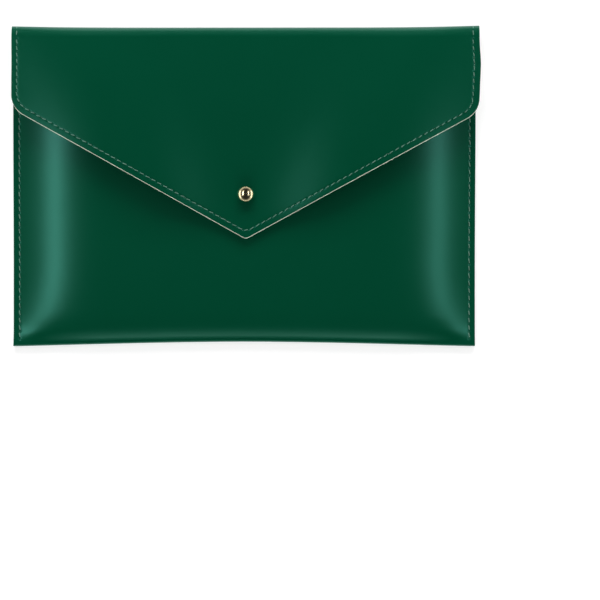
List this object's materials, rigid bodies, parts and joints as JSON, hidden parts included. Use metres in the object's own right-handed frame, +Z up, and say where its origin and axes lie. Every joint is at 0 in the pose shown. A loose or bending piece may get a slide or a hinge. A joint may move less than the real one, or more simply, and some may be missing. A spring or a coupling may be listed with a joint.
{
  "type": "envelope folio for a folded score card",
  "caption": "Flat green envelope folio with a pointed flap, stitched side seams, an open pocket for a folded card and a round gold button stud.",
  "frame": {"origin": "centre of the bounding box at its lowest level, where the closed folio lies on its back", "axes": "+X across the width, +Y from the bottom fold to the top fold, +Z up, out of the flap and the stud"},
  "size_m": [0.2436, 0.1666, 0.0208],
  "materials": {
    "green_leather": "satin coated leather, dark green",
    "pale_core": "pale cream backing, seen at the cut edges",
    "green_lining": "soft matt green lining",
    "thread": "grey-green polyester thread",
    "gold_metal": "polished pale gold plating"
  },
  "bodies": {
    "case": {"case_leather": "green_leather", "case_interlining": "pale_core", "case_lining": "green_lining", "fold_leather": "green_leather", "fold_interlining": "pale_core", "fold_lining": "green_lining", "side_stitching_left": "thread", "side_stitching_right": "thread", "mouth_stitching": "thread", "stud_head": "gold_metal", "stud_screw": "gold_metal"},
    "flap": {"flap_leather": "green_leather", "flap_interlining": "pale_core", "flap_lining": "green_lining", "flap_stitching": "thread"}
  },
  "joints": [
    {"name": "flap_hinge", "type": "hinge", "parent": "case", "child": "flap", "pos_m": [0, 0.07745, 0.0051], "axis": [-1, 0, 0], "range_deg": [0, 164], "deforming": ["fold_leather", "fold_interlining", "fold_lining"]}
  ]
}
